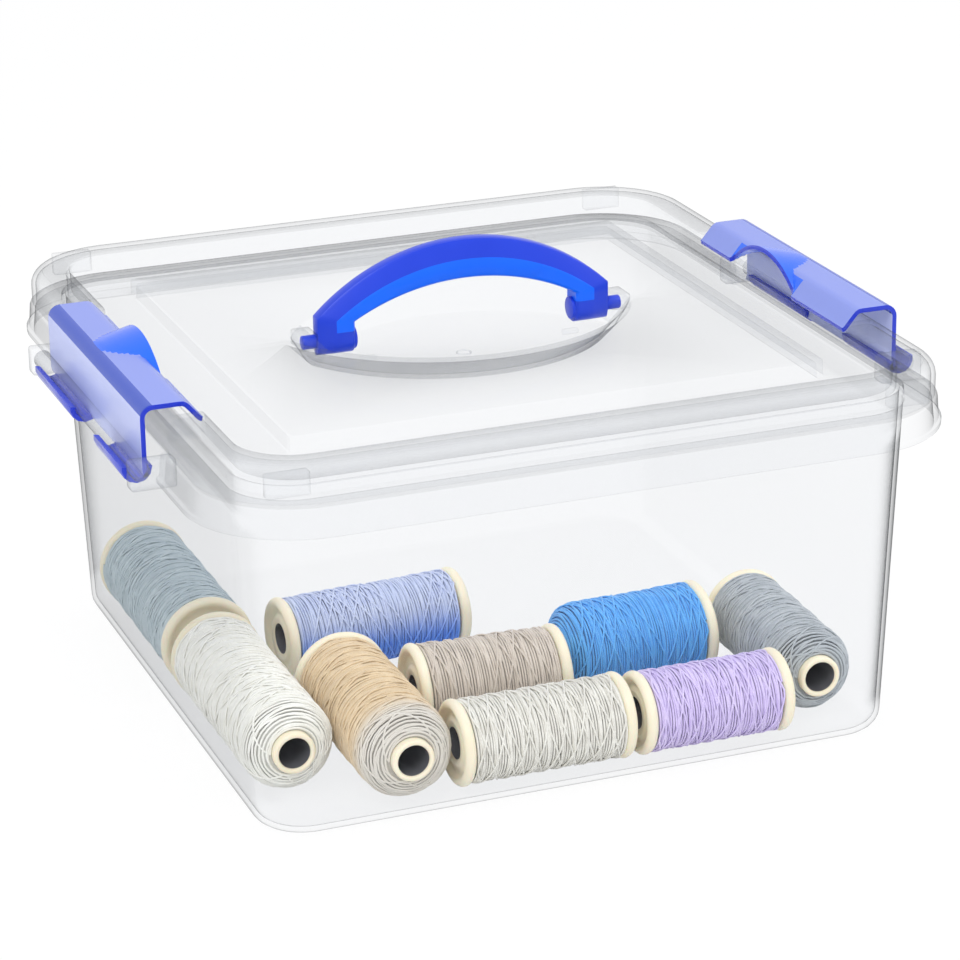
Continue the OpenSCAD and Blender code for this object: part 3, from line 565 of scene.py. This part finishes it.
foot = ((150.2, 0.25), (150.6, 0.42), (151.5, 0.64), (152.9, 0.84), (154.5, 0.96), (156.1, 1.0),
        (160.3, 1.0), (162.8, 1.0))
handle_loops = [handle_section(Vector((-INNER_HALF, z)), Vector((-OUTER_HALF, z)), narrow)
                for z, narrow in foot]
for step in range(BOW_STEPS + 1):
    share = -1 + 2 * step / BOW_STEPS
    handle_loops.append(handle_section(bow_point(share, INNER_HALF, INNER_R, INNER_TOP),
                                       bow_point(share, OUTER_HALF, OUTER_R, OUTER_TOP)))
handle_loops += [handle_section(Vector((INNER_HALF, z)), Vector((OUTER_HALF, z)), narrow)
                 for z, narrow in reversed(foot)]
handle = loft("handle_bar", handle_loops)
# Painted light and shade: the one blue plastic in two copies; the darker, more violet one stands in
# for how the light falls on the bevels and on the feet, discs and pins down in the recess
blue_face = blue_plastic("blue_face", (0.0, 0.10, 0.80), (0.0, 0.16, 0.92), 0.28)
blue_bevel = blue_plastic("blue_bevel", (0.006, 0.035, 0.52), (0.015, 0.06, 0.66), 0.3)
handle.data.materials.append(blue_face)
handle.data.materials.append(blue_bevel)
# The bevels and the feet below FEET_TOP take the painted shade
for face in handle.data.polygons:
    on_bevel = {v % len(handle_loops[0]) for v in face.vertices} <= set(BEVEL_POINTS)
    face.material_index = 1 if on_bevel or face.center.z / MM < FEET_TOP else 0
handle_parts = [tidy(handle, 24)]
for side in (-1, 1):
    pin_low = min(side * 65, side * 72)
    for part in (rod("foot_disc", (side * INNER_HALF - 1.3, 0, PIVOT_Z), 2.6, 5.0, 0, 0.5, 40),
                 rod("foot_pin", (pin_low, 0, PIVOT_Z), 7, 3.0, 0, 0.5)):
        part.data.materials.append(blue_bevel)
        handle_parts.append(part)
handle = join("handle_bar", handle_parts)
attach(handle, "handle")
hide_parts("handle")


# The latches: two long blue clips of one moulding each. The plate goes over the lid's rim, its
# sloping lip drops behind the ridge, an arch in it takes a finger, and two hooks hold the bar.
LATCH_HALF, LATCH_Y, LATCH_WALL = 71, -9, 1.95
BEND_X, BEND_Z, BEND_R = 159.04, 160.9, 3.4
ARCH_Y, ARCH_R, ARCH_TOP, ARCH_HALF, ARCH_FALL = 9.0, 44.45, 169.3, 32.4, 14
LIP_X = 140.84
HOOK_SPANS = ((-80, -38), (-2, 56))
HOOK_IN, HOOK_OUT, HOOK_CHAMFER = 4.06, 6.36, 0.25
HOOK_ARC = (10, -10, -35, -60, -90, -120, -150, -180)
FACE, SIDE, BEND, ARCH, EDGE = range(5)


def latch_plastic(name, colour, edge_colour, through_colour, body, edge):
    """Translucent blue plastic that is paler where light comes through its face.

    body and edge are how solid it looks face on and along its skin."""
    material, tree = new_material(name)
    place = tree.nodes.new("ShaderNodeTexCoord").outputs["Object"]
    cloud = node(tree, "ShaderNodeTexNoise", Vector=place, Scale=40.0, Detail=2.0)
    bump = node(tree, "ShaderNodeBump", Height=cloud.outputs["Fac"], Strength=0.1, Distance=0.001)
    facing = node(tree, "ShaderNodeLayerWeight", Blend=0.4).outputs["Facing"]
    tone = blended(tree, maths(tree, "POWER", facing, 1.5), colour, edge_colour)
    skin = node(tree, "ShaderNodeBsdfPrincipled", Base_Color=tone, Roughness=0.22,
                Normal=bump.outputs[0])
    through = node(tree, "ShaderNodeBsdfTransparent", Color=(*through_colour, 1))
    amount = maths(tree, "ADD", body, maths(tree, "MULTIPLY", facing, edge - body))
    shown(tree, mixed(tree, amount, through, skin))
    return material


def latch_shell():
    """A latch's bent sheet with the finger arch raised in it, its wall on the inner side."""
    # The outer side of the section, from its lower edge over the bend and the plate to its lip
    line = [(161.9, 137.4), (162.44, 139.7)]
    line += [(162.44, z) for z in (143, 147, 151, 155, 158)]
    line += [(BEND_X + BEND_R * math.cos(math.radians(a)),
              BEND_Z + BEND_R * math.sin(math.radians(a))) for a in range(0, 91, 15)]
    line += [(x, 164.3) for x in (157.6, 156, 154, 152, 150, 148.4)]
    line += [(147.1, 164.2), (146.2, 163.7), (145.0, 162.4), (143.6, 160.75), (142.2, 159.1),
             (141.2, 157.9), (140.3, 157.2), (139.4, 157.0)]
    points = []
    for y in range(-LATCH_HALF, LATCH_HALF + 1):
        across = y - ARCH_Y
        for x, z in line:
            if abs(across) < ARCH_HALF and x < 158:
                fall = max(abs(x) - LIP_X, 0) * math.tan(math.radians(ARCH_FALL))
                vault = ARCH_TOP - fall - ARCH_R + math.sqrt(ARCH_R ** 2 - across ** 2)
                if vault > z:
                    x, z = max(x, LIP_X), vault
            points.append((x * MM, (y + LATCH_Y) * MM, z * MM))
    width = len(line)
    faces = [(i * width + k, i * width + k + 1, (i + 1) * width + k + 1, (i + 1) * width + k)
             for i in range(2 * LATCH_HALF) for k in range(width - 1)]
    shell = tidy(new_piece("latch_shell", points, faces), 40, turn_out=False)
    wall = shell.modifiers.new("wall", "SOLIDIFY")
    wall.thickness = LATCH_WALL * MM
    wall.offset = -1
    wall.use_even_offset = True
    wall.material_offset_rim = EDGE
    soft = shell.modifiers.new("soft", "BEVEL")
    soft.width = 0.35 * MM
    soft.segments = 2
    soft.limit_method = "ANGLE"
    soft.angle_limit = math.radians(50)
    return shell


def latch_part(x, y, z):
    """Which part of the latch a spot on its outer side belongs to."""
    if x > 159.3 and z > 161.4:
        return BEND
    if x > 161.5:
        return SIDE
    if z > 164.45 or (abs(y) < 31 and x < 146 and z > 158.3):
        return ARCH
    return FACE


# Painted light and shade: one translucent blue plastic in five copies, lavender on the face and
# paler still on the side (latch_wall) where they catch the white tent, deep blue on the bend and
# the edges in shade, and bright on the arch
latch_lit_and_shaded = (
    latch_plastic("latch_face", (0.27, 0.33, 0.73), (0.13, 0.19, 0.68), (0.45, 0.52, 0.86),
                  0.85, 0.95),
    latch_plastic("latch_wall", (0.62, 0.66, 0.90), (0.36, 0.42, 0.82), (0.80, 0.83, 0.95),
                  0.8, 0.9),
    latch_plastic("latch_bend", (0.004, 0.045, 0.40), (0.01, 0.06, 0.48), (0.01, 0.08, 0.5),
                  0.95, 1.0),
    latch_plastic("latch_arch", (0.0, 0.13, 0.85), (0.02, 0.10, 0.72), (0.1, 0.3, 0.9),
                  0.9, 1.0),
    latch_plastic("latch_edge", (0.008, 0.03, 0.52), (0.02, 0.05, 0.58), (0.02, 0.06, 0.6),
                  0.95, 1.0),
)
for name, side in (("right_latch", 1), ("left_latch", -1)):
    shell = latch_shell()
    for look in latch_lit_and_shaded:
        shell.data.materials.append(look)
    # Each part of the latch takes its own painted tone of the one blue
    for face in shell.data.polygons:
        face.material_index = latch_part(*(face.center / MM))
    parts = [applied(shell)]
    for low, high in HOOK_SPANS:
        loops = []
        for y, trim in ((low, HOOK_CHAMFER), (low + 0.5, 0), (high - 0.5, 0), (high, HOOK_CHAMFER)):
            section = [(HOOK_IN + trim, a) for a in HOOK_ARC]
            section += [(HOOK_OUT - trim, a) for a in reversed(HOOK_ARC)]
            loops.append([((BAR_X + r * math.cos(math.radians(a))) * MM, y * MM,
                           (BAR_Z + r * math.sin(math.radians(a))) * MM) for r, a in section])
        hook = tidy(loft("hook", loops))
        hook.data.materials.append(latch_lit_and_shaded[EDGE])
        parts.append(hook)
    piece = join(name + "_shell", parts)
    if side < 0:
        for vertex in piece.data.vertices:
            vertex.co.x = -vertex.co.x
        piece.data.flip_normals()
    tidy(piece, 35, turn_out=False)
    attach(piece, name)
    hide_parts(name)


# The bobbins: hollow cream plastic tubes with a thick rounded flange at one or both ends. They
# are turned about the tube's axis, and each lies on its side on the tub's floor.
REST_Z = 2.7
BORE_R, TUBE_R = 6.6, 8.8
BEAD = 2.5

# Where each spool lies and how far it is turned, its size, whether its low end has no flange,
# its two thread colours, its steep turns, its noise seed, and a fade to a second colour
SPOOLS = (
    dict(name="slate", x=-115.40, y=61.55, turn=90, length=104, radius=20.5, open_low=False,
         colour=(0.60, 0.68, 0.70), dark=(0.33, 0.41, 0.45), cross=9, seed=1),
    dict(name="white", x=-115.89, y=-55.45, turn=90, length=110, radius=20, open_low=True,
         colour=(0.95, 0.94, 0.88), dark=(0.76, 0.74, 0.65), cross=7, seed=2),
    dict(name="tan", x=-74.79, y=-90.47, turn=90, length=92, radius=20.5, open_low=True,
         colour=(0.84, 0.67, 0.44), dark=(0.50, 0.35, 0.19), cross=11, seed=3,
         fade=(1, -0.112, -0.130, (0.70, 0.66, 0.59))),
    dict(name="sky", x=-42.52, y=10.74, turn=3, length=85, radius=18, open_low=False,
         colour=(0.63, 0.69, 0.85), dark=(0.40, 0.46, 0.72), cross=13, seed=4,
         fade=(2, 0.032, 0.014, (0.10, 0.28, 0.84))),
    dict(name="taupe", x=-19.69, y=-72.16, turn=-3, length=66, radius=20, open_low=False,
         colour=(0.74, 0.66, 0.57), dark=(0.45, 0.38, 0.31), cross=8, seed=5),
    dict(name="ivory", x=-16.19, y=-121.36, turn=0, length=75, radius=18, open_low=False,
         colour=(0.90, 0.88, 0.81), dark=(0.52, 0.49, 0.42), cross=17, seed=6),
    dict(name="blue", x=50.99, y=-56.11, turn=2, length=70.76, radius=20.5, open_low=True,
         colour=(0.15, 0.50, 0.92), dark=(0.05, 0.24, 0.68), cross=13, seed=7),
    dict(name="lilac", x=58.79, y=-121.83, turn=0, length=66.55, radius=17.5, open_low=False,
         colour=(0.76, 0.66, 0.92), dark=(0.46, 0.35, 0.70), cross=17, seed=8),
    dict(name="grey", x=113.00, y=-79.76, turn=88, length=83, radius=18.5, open_low=True,
         colour=(0.52, 0.55, 0.57), dark=(0.24, 0.27, 0.30), cross=9, seed=9),
)


def lie(point, spool):
    """A point on a spool's own axis (along, across, up), at the spool's place in the tub."""
    along, across, up = point
    turn = math.radians(spool["turn"])
    return ((spool["x"] + along * math.cos(turn) - across * math.sin(turn)) * MM,
            (spool["y"] + along * math.sin(turn) + across * math.cos(turn)) * MM,
            (REST_Z + spool["radius"] + up) * MM)


def turned(name, section, spool, sides):
    """A ring turned from a section of (along, radius) points about a spool's axis."""
    loops = [[lie((t, r * math.cos(a), r * math.sin(a)), spool) for t, r in section]
             for a in circle(sides)]
    return loft(name, loops, ring=True)


def flange_side(half, radius):
    """Half of a bobbin's section, from its middle out over a flange and into the bore."""
    bead = [(half - BEAD - BEAD * math.cos(math.radians(a)),
             radius - BEAD + BEAD * math.sin(math.radians(a))) for a in range(0, 181, 20)]
    return [(half - 2 * BEAD, TUBE_R), (half - 2 * BEAD, radius - BEAD)] + bead + [
        (half - 0.5, radius - 3.6), (half - 1.7, radius - 4.6), (half - 2.3, radius - 5.6),
        (half - 2.3, 11.4), (half - 1.9, 10.4), (half - 1.2, 9.7), (half - 1.1, 9.1),
        (half - 1.2, 7.4), (half - 1.6, 6.7), (half - 2.4, BORE_R)]


def open_side(half):
    """The same half where the tube ends in a plain mouth."""
    return [(half - 4.0, TUBE_R), (half - 0.7, TUBE_R), (half - 0.2, 8.5), (half, 8.0),
            (half, 7.3), (half - 0.3, 6.8), (half - 0.9, BORE_R)]


cream, tree = new_material("cream_plastic")
place = tree.nodes.new("ShaderNodeTexCoord").outputs["Object"]
cloud = node(tree, "ShaderNodeTexNoise", Vector=place, Scale=60.0, Detail=4.0)
tone = blended(tree, cloud.outputs["Fac"], (0.84, 0.75, 0.54), (0.90, 0.84, 0.67))
bump = node(tree, "ShaderNodeBump", Height=cloud.outputs["Fac"], Strength=0.08, Distance=0.001)
shown(tree, node(tree, "ShaderNodeBsdfPrincipled", Base_Color=tone, Roughness=0.42,
                 Normal=bump.outputs[0], Subsurface_Weight=0.2, Subsurface_Scale=0.003))

bore_shade, tree = new_material("bore_shade")
place = tree.nodes.new("ShaderNodeTexCoord").outputs["Object"]
cloud = node(tree, "ShaderNodeTexNoise", Vector=place, Scale=80.0, Detail=3.0)
bump = node(tree, "ShaderNodeBump", Height=cloud.outputs["Fac"], Strength=0.1, Distance=0.001)
shown(tree, node(tree, "ShaderNodeBsdfPrincipled", Base_Color=(0.10, 0.10, 0.11, 1),
                 Roughness=0.6, Normal=bump.outputs[0]))

for spool in SPOOLS:
    half, radius = spool["length"] / 2, spool["radius"]
    low_side = open_side(half) if spool["open_low"] else flange_side(half, radius)
    section = [(-t, r) for t, r in reversed(low_side)] + flange_side(half, radius)
    bobbin = tidy(turned(spool["name"] + "_tube", section, spool, 72), 50)
    bobbin.data.materials.append(cream)
    bobbin.data.materials.append(bore_shade)
    turn = math.radians(spool["turn"])
    axis = Vector((math.cos(turn), math.sin(turn), 0))
    middle = Vector(lie((0, 0, 0), spool)) / MM
    for face in bobbin.data.polygons:
        spot = face.center / MM - middle
        if (spot - axis * spot.dot(axis)).length < BORE_R + 0.05:
            face.material_index = 1
    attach(bobbin, spool["name"] + "_spool")
    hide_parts(spool["name"] + "_bobbin")


# The thread: one strand to each spool, wound to and fro over the tube in many passes, and a
# last few turns laid on at a steeper angle. At an open end it closes in round the tube's mouth.
FLANGE_ROOM, OPEN_ROOM = 5.2, 3.6
DOME = 9.0
STRAND, STRAND_SIDES, STRAND_PITCH = 1.0, 5, 1.16
MOUTH_R, BODY_MOUTH_R, BODY_R = 9.4, 9.0, 8.9
BODY_SINK = 1.5


def winding_tree():
    """Geometry nodes that wind a strand round the X axis, from a point count to a skinned tube."""
    tree = bpy.data.node_groups.new("winding", "GeometryNodeTree")
    for title, kind in (("Low", "Float"), ("High", "Float"), ("Radius", "Float"),
                        ("Mouth", "Float"), ("Dome", "Float"), ("Strand", "Float"),
                        ("Turns", "Float"), ("Passes", "Float"), ("Points", "Int"),
                        ("Wander", "Float"), ("Seed", "Float"), ("Thread", "Material")):
        tree.interface.new_socket(title, in_out="INPUT", socket_type="NodeSocket" + kind)
    tree.interface.new_socket("Geometry", in_out="OUTPUT", socket_type="NodeSocketGeometry")
    given = tree.nodes.new("NodeGroupInput").outputs

    def calc(operation, a, b=0.0):
        return maths(tree, operation, a, b)

    line = node(tree, "GeometryNodeMeshLine", Count=given["Points"])
    index = tree.nodes.new("GeometryNodeInputIndex").outputs[0]
    share = calc("DIVIDE", index, calc("SUBTRACT", given["Points"], 1.0))
    angle = calc("MULTIPLY", calc("MULTIPLY", share, given["Turns"]), 2 * math.pi)
    to_fro = calc("PINGPONG", calc("MULTIPLY", share, given["Passes"]), 1.0)
    spot = node(tree, "ShaderNodeCombineXYZ", Y=given["Seed"],
                X=calc("MULTIPLY", share, calc("MULTIPLY", given["Turns"], 1.7)))
    slow = node(tree, "ShaderNodeTexNoise", Vector=spot.outputs[0], Scale=1.0, Detail=2.0)
    fine = node(tree, "ShaderNodeTexNoise", Vector=spot.outputs[0], Scale=9.0, Detail=1.0)
    wander = calc("MULTIPLY", calc("SUBTRACT", slow.outputs["Fac"], 0.5), given["Wander"])
    lift = calc("MULTIPLY", calc("SUBTRACT", fine.outputs["Fac"], 0.5),
                calc("MULTIPLY", given["Strand"], 0.7))
    # Where along the surface the strand lies: over the dome at the open end, if there is one,
    # or on the straight part
    rise = calc("SUBTRACT", given["Radius"], given["Mouth"])
    arc = calc("MULTIPLY", calc("MULTIPLY", rise, 1.15),
               calc("GREATER_THAN", given["Dome"], 0.0001))
    straight = calc("ADD", given["Low"], given["Dome"])
    start = calc("SUBTRACT", straight, arc)
    run = calc("MULTIPLY", to_fro, calc("SUBTRACT", given["High"], start))
    along = calc("ADD", calc("ADD", start, run), wander)
    along = calc("MINIMUM", calc("MAXIMUM", along, start), given["High"])
    over = calc("DIVIDE", calc("MAXIMUM", calc("SUBTRACT", straight, along), 0.0),
                calc("MAXIMUM", arc, 0.00001))
    bend = calc("MULTIPLY", calc("MINIMUM", over, 1.0), math.pi / 2)
    axial = calc("SUBTRACT", calc("MAXIMUM", along, straight),
                 calc("MULTIPLY", calc("SINE", bend), given["Dome"]))
    reach = calc("ADD", given["Mouth"], calc("MULTIPLY", rise, calc("COSINE", bend)))
    reach = calc("ADD", reach, lift)
    where = node(tree, "ShaderNodeCombineXYZ", X=axial,
                 Y=calc("MULTIPLY", reach, calc("COSINE", angle)),
                 Z=calc("MULTIPLY", reach, calc("SINE", angle)))
    placed = node(tree, "GeometryNodeSetPosition", Geometry=line.outputs[0],
                  Position=where.outputs[0])
    strand = node(tree, "GeometryNodeMeshToCurve", Mesh=placed.outputs[0])
    ring = node(tree, "GeometryNodeCurvePrimitiveCircle", Resolution=STRAND_SIDES,
                Radius=calc("MULTIPLY", given["Strand"], 0.5))
    tube = node(tree, "GeometryNodeCurveToMesh", Curve=strand.outputs[0],
                Profile_Curve=ring.outputs[0], Fill_Caps=True)
    soft = node(tree, "GeometryNodeSetShadeSmooth", Geometry=tube.outputs[0])
    dyed = node(tree, "GeometryNodeSetMaterial", Geometry=soft.outputs[0],
                Material=given["Thread"])
    tree.links.new(dyed.outputs[0], tree.nodes.new("NodeGroupOutput").inputs[0])
    return tree


winding = winding_tree()


def wind(name, spool, **sizes):
    """One winding of a spool, made real and laid at its place."""
    piece = new_piece(name, [(0, 0, 0)], [])
    wound = piece.modifiers.new("winding", "NODES")
    wound.node_group = winding
    for item in winding.interface.items_tree:
        if item.in_out == "INPUT":
            wound[item.identifier] = sizes[item.name]
    applied(piece)
    for vertex in piece.data.vertices:
        vertex.co = lie([c / MM for c in vertex.co], spool)
    return piece


def thread(spool, title, depth):
    """Spun thread: the strand's colour drifts along the spool, and fibres catch the light.

    A depth below 1 darkens every colour as painted shade, for what lies in the shade between the
    strands."""
    def dye_and_shade(colour):
        return [depth * c for c in colour]

    material, tree = new_material(spool["name"] + title)
    place = tree.nodes.new("ShaderNodeTexCoord").outputs["Object"]
    drift = node(tree, "ShaderNodeTexNoise", Vector=place, Scale=150.0, Detail=4.0)
    fibre = node(tree, "ShaderNodeTexNoise", Vector=place, Scale=1400.0, Detail=2.0)
    share = maths(tree, "ADD", maths(tree, "MULTIPLY", drift.outputs["Fac"], 0.9),
                  maths(tree, "MULTIPLY", fibre.outputs["Fac"], 0.5))
    tone = blended(tree, share, dye_and_shade(spool["dark"]), dye_and_shade(spool["colour"]))
    # A fade changes the colour along one axis: the sky spool turns bluer and darker towards the
    # bottom, and the tan one greyer towards its front end
    if "fade" in spool:
        axis, start, stop, colour = spool["fade"]
        spread = node(tree, "ShaderNodeSeparateXYZ", Vector=place)
        tone = blended(tree, past(tree, spread.outputs[axis], start, stop), tone, dye_and_shade(colour))
    bump = node(tree, "ShaderNodeBump", Height=fibre.outputs["Fac"], Strength=0.35, Distance=0.0004)
    shown(tree, node(tree, "ShaderNodeBsdfPrincipled", Base_Color=tone, Roughness=0.62,
                     Normal=bump.outputs[0], Sheen_Weight=0.35, Sheen_Roughness=0.4))
    return material


for spool in SPOOLS:
    half, name = spool["length"] / 2, spool["name"]
    open_low, cross, seed = spool["open_low"], spool["cross"], spool["seed"]
    dyed = thread(spool, "_thread", 1.0)
    low = -half + (OPEN_ROOM if open_low else FLANGE_ROOM)
    high = half - FLANGE_ROOM
    outer = spool["radius"] - 1.1
    turns = (high - low) / STRAND_PITCH
    # Close turns under wide crossing ones, and a few steep ones on top
    windings = (
        dict(name="packed", lift=-0.55, strand=1.0, turns=turns + (6 if open_low else 0),
             passes=1.0, fine=30, wander=0.6, seed=3.0),
        dict(name="crossed", lift=0.0, strand=0.92, turns=turns * 0.62,
             passes=3.0, fine=30, wander=4.0, seed=5.0),
        dict(name="steep", lift=0.3, strand=0.9, turns=float(cross),
             passes=9.0 if cross > 12 else 5.0, fine=40, wander=6.0, seed=7.0),
    )
    parts = []
    for lay in windings:
        parts.append(wind(lay["name"], spool, Low=low * MM, High=high * MM, Mouth=MOUTH_R * MM,
                          Dome=(DOME if open_low else 0.0) * MM, Thread=dyed,
                          Radius=(outer + lay["lift"]) * MM, Strand=lay["strand"] * STRAND * MM,
                          Turns=lay["turns"], Points=int(lay["turns"] * lay["fine"]),
                          Passes=lay["passes"], Wander=lay["wander"] * MM,
                          Seed=seed * lay["seed"]))
    # The wound body under the strands, closed round the tube, with the thread's colours darkened as
    # painted shade
    core = outer - BODY_SINK
    body = [(low + 0.1, BODY_R)]
    if open_low:
        body += [(low + DOME - DOME * math.cos(math.radians(a)),
                  BODY_MOUTH_R + (core - BODY_MOUTH_R) * math.sin(math.radians(a)))
                 for a in range(0, 91, 15)]
    else:
        body.append((low + 0.1, core))
    body += [(high - 0.1, core), (high - 0.1, BODY_R)]
    packed = tidy(turned("body", body, spool, 64), 40)
    packed.data.materials.append(thread(spool, "_depths", 0.6))
    piece = join(name + "_winding", [packed] + parts)
    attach(piece, name + "_spool")
    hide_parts(name + "_thread", name + "_turns")
